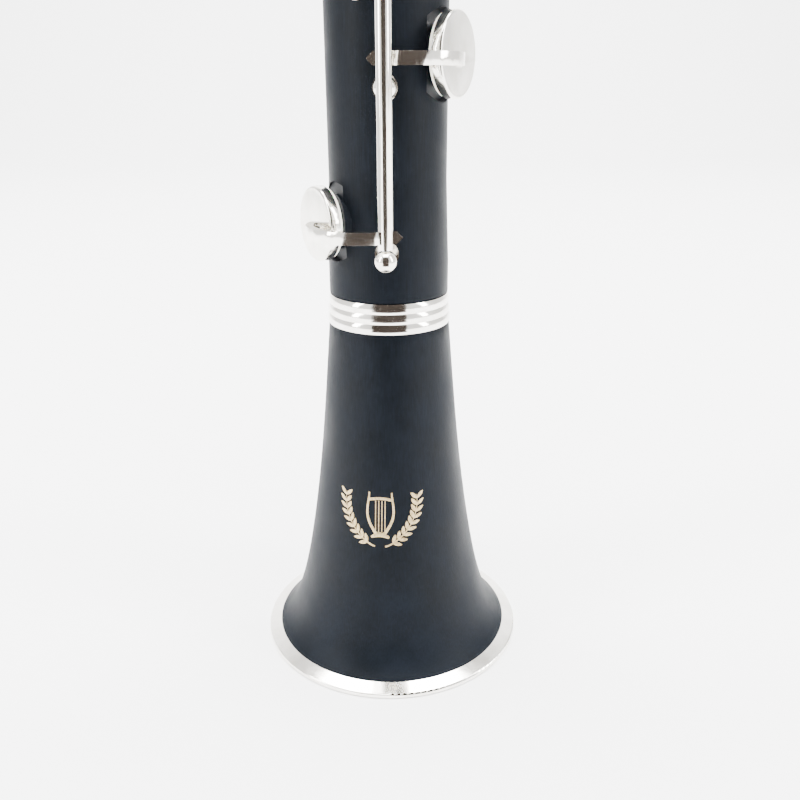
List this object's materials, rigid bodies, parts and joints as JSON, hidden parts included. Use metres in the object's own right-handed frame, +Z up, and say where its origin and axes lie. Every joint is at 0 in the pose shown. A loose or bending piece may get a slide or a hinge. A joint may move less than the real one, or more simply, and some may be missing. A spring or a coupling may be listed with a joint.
{
  "type": "clarinet",
  "caption": "Boehm-system B flat clarinet that stands on its bell, with jointed body, sprung keys, pads, reed and ligature.",
  "frame": {"origin": "centre of the bell's mouth, on the plane the bell's rim stands on", "axes": "+Z up the bore to the mouthpiece; the finger holes face -Y; +X is the player's left"},
  "size_m": [0.079, 0.079, 0.6737],
  "materials": {
    "wood": "satin",
    "metal": "polished",
    "steel": "brushed",
    "pad": "matte",
    "cork": "matte",
    "cane": "satin",
    "hard_rubber": "gloss"
  },
  "bodies": {
    "bell": {"bell": "wood", "bell_rim_ring": "metal", "bell_top_ring": "metal"},
    "lower": {"lower_joint": "wood", "lower_joint_cork": "cork", "middle_socket_ring": "metal", "lower_posts": "metal", "lower_hinge_rods": "steel", "thumb_rest": "metal", "thumb_rest_screws": "metal"},
    "upper": {"upper_joint": "wood", "upper_joint_corks": "cork", "upper_posts": "metal", "upper_hinge_rods": "steel"},
    "barrel": {"barrel": "wood", "barrel_rings": "metal"},
    "mouthpiece": {"mouthpiece": "hard_rubber", "mouthpiece_cork": "cork", "reed": "cane", "ligature_band": "metal"},
    "ligature_screw_lower": {"ligature_screw_lower": "metal"},
    "ligature_screw_upper": {"ligature_screw_upper": "metal"},
    "low_e_key": {"low_e_key": "metal", "low_e_pad": "pad"},
    "low_f_key": {"low_f_key": "metal", "low_f_pad": "pad"},
    "f_sharp_key": {"f_sharp_key": "metal", "f_sharp_pad": "pad"},
    "a_flat_key": {"a_flat_key": "metal", "a_flat_pad": "pad"},
    "lower_ring_key": {"lower_ring_key": "metal", "lower_ring_pad": "pad"},
    "side_b_key": {"side_b_key": "metal", "side_b_pad": "pad"},
    "left_f_lever": {"left_f_lever": "metal"},
    "left_e_lever": {"left_e_lever": "metal"},
    "upper_ring_key": {"upper_ring_key": "metal", "upper_ring_pad": "pad"},
    "thumb_ring_key": {"thumb_ring_key": "metal", "thumb_ring_pad": "pad"},
    "side_e_flat_key": {"side_e_flat_key": "metal", "side_e_flat_pad": "pad"},
    "c_sharp_key": {"c_sharp_key": "metal", "c_sharp_pad": "pad"},
    "throat_a_key": {"throat_a_key": "metal", "throat_a_pad": "pad"},
    "throat_g_sharp_key": {"throat_g_sharp_key": "metal", "throat_g_sharp_pad": "pad"},
    "register_key": {"register_key": "metal", "register_pad": "pad"},
    "trill_key_1": {"trill_key_1": "metal", "trill_pad_1": "pad"},
    "trill_key_2": {"trill_key_2": "metal", "trill_pad_2": "pad"},
    "trill_key_3": {"trill_key_3": "metal", "trill_pad_3": "pad"},
    "trill_key_4": {"trill_key_4": "metal", "trill_pad_4": "pad"}
  },
  "joints": [
    {"name": "lower_joint_pull", "type": "slide", "parent": "bell", "child": "lower", "axis": [0, 0, 1], "range_m": [0, 0.03]},
    {"name": "upper_joint_pull", "type": "slide", "parent": "lower", "child": "upper", "axis": [0, 0, 1], "range_m": [0, 0.03]},
    {"name": "barrel_pull", "type": "slide", "parent": "upper", "child": "barrel", "axis": [0, 0, 1], "range_m": [0, 0.03]},
    {"name": "mouthpiece_pull", "type": "slide", "parent": "barrel", "child": "mouthpiece", "axis": [0, 0, 1], "range_m": [0, 0.03]},
    {"name": "ligature_lower_turn", "type": "hinge", "parent": "mouthpiece", "child": "ligature_screw_lower", "pos_m": [0, 0.0182, 0.6162], "axis": [1, 0, 0], "range_deg": [-720, 0]},
    {"name": "ligature_upper_turn", "type": "hinge", "parent": "mouthpiece", "child": "ligature_screw_upper", "pos_m": [0, 0.0182, 0.6272], "axis": [1, 0, 0], "range_deg": [-720, 0]},
    {"name": "low_e_key_hinge", "type": "hinge", "parent": "lower", "child": "low_e_key", "pos_m": [-0.0007, -0.02599, 0.168], "axis": [0, 0, 1], "range_deg": [-7, 0], "stiffness_Nm_per_rad": 0.02, "springref_deg": 11.46},
    {"name": "low_f_key_hinge", "type": "hinge", "parent": "lower", "child": "low_f_key", "pos_m": [-0.00056, -0.02069, 0.188], "axis": [0, 0, 1], "range_deg": [0, 7], "stiffness_Nm_per_rad": 0.02, "springref_deg": -11.46},
    {"name": "f_sharp_key_hinge", "type": "hinge", "parent": "lower", "child": "f_sharp_key", "pos_m": [-0.00859, -0.01762, 0.206], "axis": [0, 0, 1], "range_deg": [-7, 0], "stiffness_Nm_per_rad": 0.02, "springref_deg": 11.46},
    {"name": "a_flat_key_hinge", "type": "hinge", "parent": "lower", "child": "a_flat_key", "pos_m": [0.00859, -0.01762, 0.22], "axis": [0, 0, 1], "range_deg": [-7, 0], "stiffness_Nm_per_rad": 0.02, "springref_deg": 11.46},
    {"name": "lower_ring_key_hinge", "type": "hinge", "parent": "lower", "child": "lower_ring_key", "pos_m": [-0.01501, -0.0126, 0.284], "axis": [0, 0, 1], "range_deg": [0, 4.5], "stiffness_Nm_per_rad": 0.02, "springref_deg": -11.46},
    {"name": "side_b_key_hinge", "type": "hinge", "parent": "lower", "child": "side_b_key", "pos_m": [0.01028, -0.01645, 0.26], "axis": [0, 0, 1], "range_deg": [-7, 0], "stiffness_Nm_per_rad": 0.02, "springref_deg": 11.46},
    {"name": "left_f_lever_hinge", "type": "hinge", "parent": "lower", "child": "left_f_lever", "pos_m": [0.01968, 0.00454, 0.26], "axis": [0, 0, 1], "range_deg": [-7, 0], "stiffness_Nm_per_rad": 0.02, "springref_deg": 11.46},
    {"name": "left_e_lever_hinge", "type": "hinge", "parent": "lower", "child": "left_e_lever", "pos_m": [0.01547, 0.01298, 0.26], "axis": [0, 0, 1], "range_deg": [-7, 0], "stiffness_Nm_per_rad": 0.02, "springref_deg": 11.46},
    {"name": "upper_ring_key_hinge", "type": "hinge", "parent": "upper", "child": "upper_ring_key", "pos_m": [-0.01425, -0.01196, 0.401], "axis": [0, 0, 1], "range_deg": [0, 4.5], "stiffness_Nm_per_rad": 0.02, "springref_deg": -11.46},
    {"name": "thumb_ring_key_hinge", "type": "hinge", "parent": "upper", "child": "thumb_ring_key", "pos_m": [0.01292, 0.01338, 0.415], "axis": [0, 0, 1], "range_deg": [0, 4.5], "stiffness_Nm_per_rad": 0.02, "springref_deg": -11.46},
    {"name": "side_e_flat_key_hinge", "type": "hinge", "parent": "upper", "child": "side_e_flat_key", "pos_m": [0.01029, -0.01525, 0.391], "axis": [0, 0, 1], "range_deg": [-7, 0], "stiffness_Nm_per_rad": 0.02, "springref_deg": 11.46},
    {"name": "c_sharp_key_hinge", "type": "hinge", "parent": "upper", "child": "c_sharp_key", "pos_m": [0.01916, 0.00478, 0.371], "axis": [-0.2419, 0.9703, 0], "range_deg": [0, 7], "stiffness_Nm_per_rad": 0.02, "springref_deg": -11.46},
    {"name": "throat_a_key_hinge", "type": "hinge", "parent": "upper", "child": "throat_a_key", "pos_m": [0.00069, -0.01974, 0.486], "axis": [0.9994, 0.0349, 0], "range_deg": [0, 7], "stiffness_Nm_per_rad": 0.02, "springref_deg": -11.46},
    {"name": "throat_g_sharp_key_hinge", "type": "hinge", "parent": "upper", "child": "throat_g_sharp_key", "pos_m": [0.01556, -0.01216, 0.474], "axis": [0.6157, 0.788, 0], "range_deg": [0, 7], "stiffness_Nm_per_rad": 0.02, "springref_deg": -11.46},
    {"name": "register_key_hinge", "type": "hinge", "parent": "upper", "child": "register_key", "pos_m": [0, 0.01975, 0.48], "axis": [-1, 0, 0], "range_deg": [0, 3], "stiffness_Nm_per_rad": 0.02, "springref_deg": -11.46},
    {"name": "trill_key_1_hinge", "type": "hinge", "parent": "upper", "child": "trill_key_1", "pos_m": [-0.01932, -0.00411, 0.447], "axis": [0.2079, -0.9781, 0], "range_deg": [0, 2.5], "stiffness_Nm_per_rad": 0.02, "springref_deg": -11.46},
    {"name": "trill_key_2_hinge", "type": "hinge", "parent": "upper", "child": "trill_key_2", "pos_m": [-0.01932, 0.00411, 0.437], "axis": [-0.2079, -0.9781, 0], "range_deg": [0, 2.5], "stiffness_Nm_per_rad": 0.02, "springref_deg": -11.46},
    {"name": "trill_key_3_hinge", "type": "hinge", "parent": "upper", "child": "trill_key_3", "pos_m": [-0.01598, 0.01161, 0.427], "axis": [-0.5878, -0.809, 0], "range_deg": [0, 2.5], "stiffness_Nm_per_rad": 0.02, "springref_deg": -11.46},
    {"name": "trill_key_4_hinge", "type": "hinge", "parent": "upper", "child": "trill_key_4", "pos_m": [-0.00988, 0.0171, 0.417], "axis": [-0.866, -0.5, 0], "range_deg": [0, 2.5], "stiffness_Nm_per_rad": 0.02, "springref_deg": -11.46}
  ],
  "couplings": [
    {"joint": "left_f_lever_hinge", "follows": "low_f_key_hinge", "ratio": -1},
    {"joint": "left_e_lever_hinge", "follows": "low_e_key_hinge", "ratio": 1}
  ]
}
